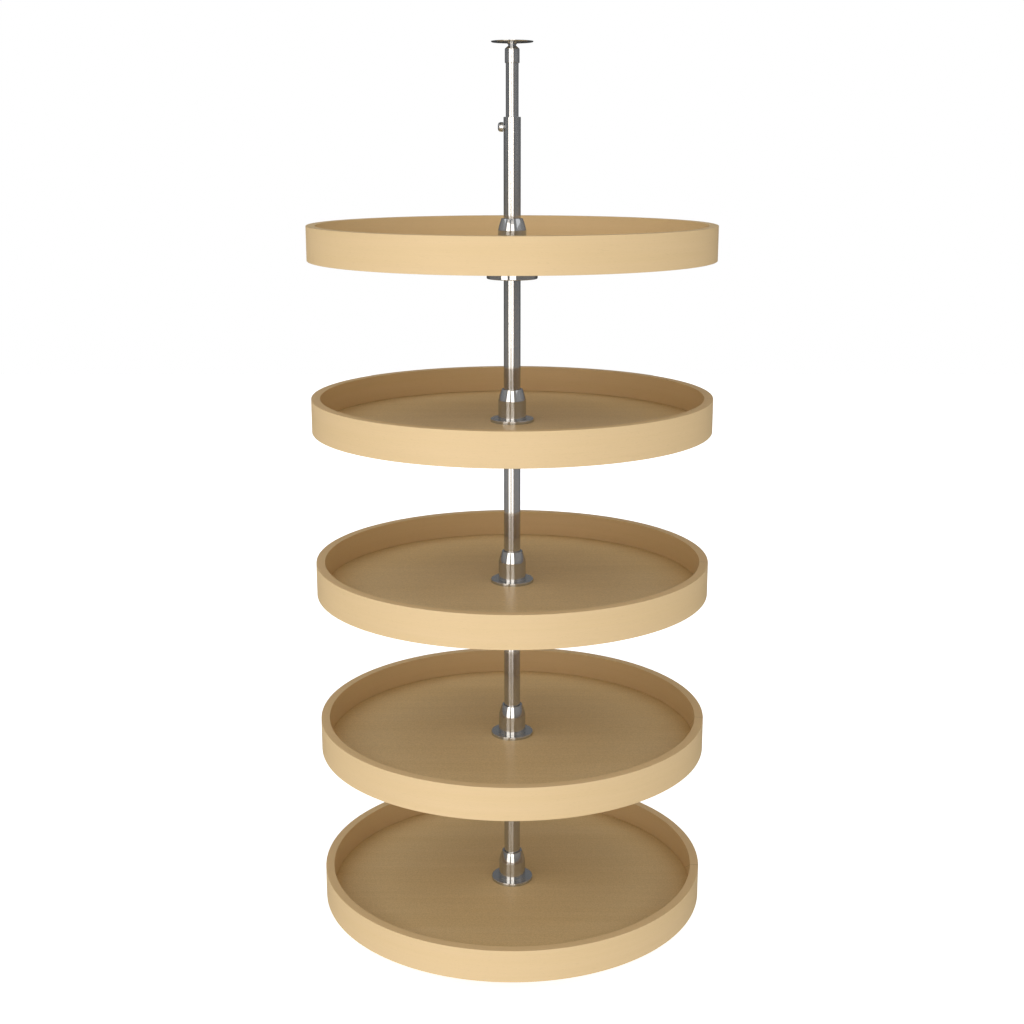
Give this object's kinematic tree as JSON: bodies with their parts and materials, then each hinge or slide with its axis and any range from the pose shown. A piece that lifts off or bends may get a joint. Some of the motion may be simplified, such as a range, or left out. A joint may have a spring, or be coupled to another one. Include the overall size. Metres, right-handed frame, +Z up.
{
  "type": "rotating pantry cabinet",
  "caption": "Round rimmed wooden shelves that each turn on a ball race on a telescoping chrome pole fixed between a cabinet's floor and top.",
  "frame": {"origin": "centre of the floor plate's underside, on the pole's axis", "axes": "+Z up along the pole, -Y towards the front, the lock screw on -X"},
  "size_m": [0.6096, 0.6096, 1.386],
  "materials": {
    "maple_band": "clear satin lacquer",
    "maple_panel": "clear satin lacquer",
    "chrome": "polished plating",
    "nylon": "moulded, matt",
    "zinc_steel": "zinc plated",
    "ball_steel": "polished balls in a pressed cage",
    "black_steel": "black oxide"
  },
  "bodies": {
    "pole": {"floor_plate": "zinc_steel", "foot_plug": "nylon", "outer_tube": "chrome", "guide_bush": "nylon", "lock_insert": "zinc_steel"},
    "lock_knob": {"lock_screw": "chrome"},
    "inner_pole": {"inner_tube": "chrome", "inner_tube_glide": "nylon", "top_ferrule": "chrome", "pivot_pin": "zinc_steel"},
    "ceiling_mount": {"ceiling_plate": "chrome", "pivot_washer": "black_steel"},
    "collar_1": {"tray_1_lock_collar": "chrome", "tray_1_set_screw": "black_steel"},
    "cage_1": {"tray_1_ball_cage": "ball_steel"},
    "tray_1": {"tray_1_band": "maple_band", "tray_1_panel": "maple_panel", "tray_1_hub_cap": "chrome", "tray_1_hub_bush": "nylon", "tray_1_hub_flange": "zinc_steel"},
    "collar_2": {"tray_2_lock_collar": "chrome", "tray_2_set_screw": "black_steel"},
    "cage_2": {"tray_2_ball_cage": "ball_steel"},
    "tray_2": {"tray_2_band": "maple_band", "tray_2_panel": "maple_panel", "tray_2_hub_cap": "chrome", "tray_2_hub_bush": "nylon", "tray_2_hub_flange": "zinc_steel"},
    "collar_3": {"tray_3_lock_collar": "chrome", "tray_3_set_screw": "black_steel"},
    "cage_3": {"tray_3_ball_cage": "ball_steel"},
    "tray_3": {"tray_3_band": "maple_band", "tray_3_panel": "maple_panel", "tray_3_hub_cap": "chrome", "tray_3_hub_bush": "nylon", "tray_3_hub_flange": "zinc_steel"},
    "collar_4": {"tray_4_lock_collar": "chrome", "tray_4_set_screw": "black_steel"},
    "cage_4": {"tray_4_ball_cage": "ball_steel"},
    "tray_4": {"tray_4_band": "maple_band", "tray_4_panel": "maple_panel", "tray_4_hub_cap": "chrome", "tray_4_hub_bush": "nylon", "tray_4_hub_flange": "zinc_steel"},
    "collar_5": {"tray_5_lock_collar": "chrome", "tray_5_set_screw": "black_steel"},
    "cage_5": {"tray_5_ball_cage": "ball_steel"},
    "tray_5": {"tray_5_band": "maple_band", "tray_5_panel": "maple_panel", "tray_5_hub_cap": "chrome", "tray_5_hub_bush": "nylon", "tray_5_hub_flange": "zinc_steel"}
  },
  "joints": [
    {"name": "pole_extension", "type": "slide", "parent": "pole", "child": "inner_pole", "axis": [0, 0, 1], "range_m": [-0.07, 0.15]},
    {"name": "lock_screw_turn", "type": "hinge", "parent": "pole", "child": "lock_knob", "pos_m": [-0.013, 0, 1.2658], "axis": [-1, 0, 0], "range_deg": [0, 720]},
    {"name": "ceiling_swivel", "type": "hinge", "parent": "inner_pole", "child": "ceiling_mount", "pos_m": [0, 0, 1.3796], "axis": [0, 0, 1], "continuous": true},
    {"name": "tray_1_height", "type": "slide", "parent": "pole", "child": "collar_1", "axis": [0, 0, 1], "range_m": [-0.075, 0.075]},
    {"name": "tray_1_spin", "type": "hinge", "parent": "collar_1", "child": "tray_1", "pos_m": [0, 0, 1.0748], "axis": [0, 0, 1], "continuous": true},
    {"name": "cage_1_roll", "type": "hinge", "parent": "collar_1", "child": "cage_1", "pos_m": [0, 0, 1.0748], "axis": [0, 0, 1], "continuous": true},
    {"name": "tray_2_height", "type": "slide", "parent": "pole", "child": "collar_2", "axis": [0, 0, 1], "range_m": [-0.075, 0.075]},
    {"name": "tray_2_spin", "type": "hinge", "parent": "collar_2", "child": "tray_2", "pos_m": [0, 0, 0.8192], "axis": [0, 0, 1], "continuous": true},
    {"name": "cage_2_roll", "type": "hinge", "parent": "collar_2", "child": "cage_2", "pos_m": [0, 0, 0.8192], "axis": [0, 0, 1], "continuous": true},
    {"name": "tray_3_height", "type": "slide", "parent": "pole", "child": "collar_3", "axis": [0, 0, 1], "range_m": [-0.075, 0.075]},
    {"name": "tray_3_spin", "type": "hinge", "parent": "collar_3", "child": "tray_3", "pos_m": [0, 0, 0.5636], "axis": [0, 0, 1], "continuous": true},
    {"name": "cage_3_roll", "type": "hinge", "parent": "collar_3", "child": "cage_3", "pos_m": [0, 0, 0.5636], "axis": [0, 0, 1], "continuous": true},
    {"name": "tray_4_height", "type": "slide", "parent": "pole", "child": "collar_4", "axis": [0, 0, 1], "range_m": [-0.075, 0.075]},
    {"name": "tray_4_spin", "type": "hinge", "parent": "collar_4", "child": "tray_4", "pos_m": [0, 0, 0.308], "axis": [0, 0, 1], "continuous": true},
    {"name": "cage_4_roll", "type": "hinge", "parent": "collar_4", "child": "cage_4", "pos_m": [0, 0, 0.308], "axis": [0, 0, 1], "continuous": true},
    {"name": "tray_5_height", "type": "slide", "parent": "pole", "child": "collar_5", "axis": [0, 0, 1], "range_m": [-0.005, 0.075]},
    {"name": "tray_5_spin", "type": "hinge", "parent": "collar_5", "child": "tray_5", "pos_m": [0, 0, 0.0524], "axis": [0, 0, 1], "continuous": true},
    {"name": "cage_5_roll", "type": "hinge", "parent": "collar_5", "child": "cage_5", "pos_m": [0, 0, 0.0524], "axis": [0, 0, 1], "continuous": true}
  ],
  "couplings": [
    {"joint": "cage_1_roll", "follows": "tray_1_spin", "ratio": 0.5},
    {"joint": "cage_2_roll", "follows": "tray_2_spin", "ratio": 0.5},
    {"joint": "cage_3_roll", "follows": "tray_3_spin", "ratio": 0.5},
    {"joint": "cage_4_roll", "follows": "tray_4_spin", "ratio": 0.5},
    {"joint": "cage_5_roll", "follows": "tray_5_spin", "ratio": 0.5}
  ]
}
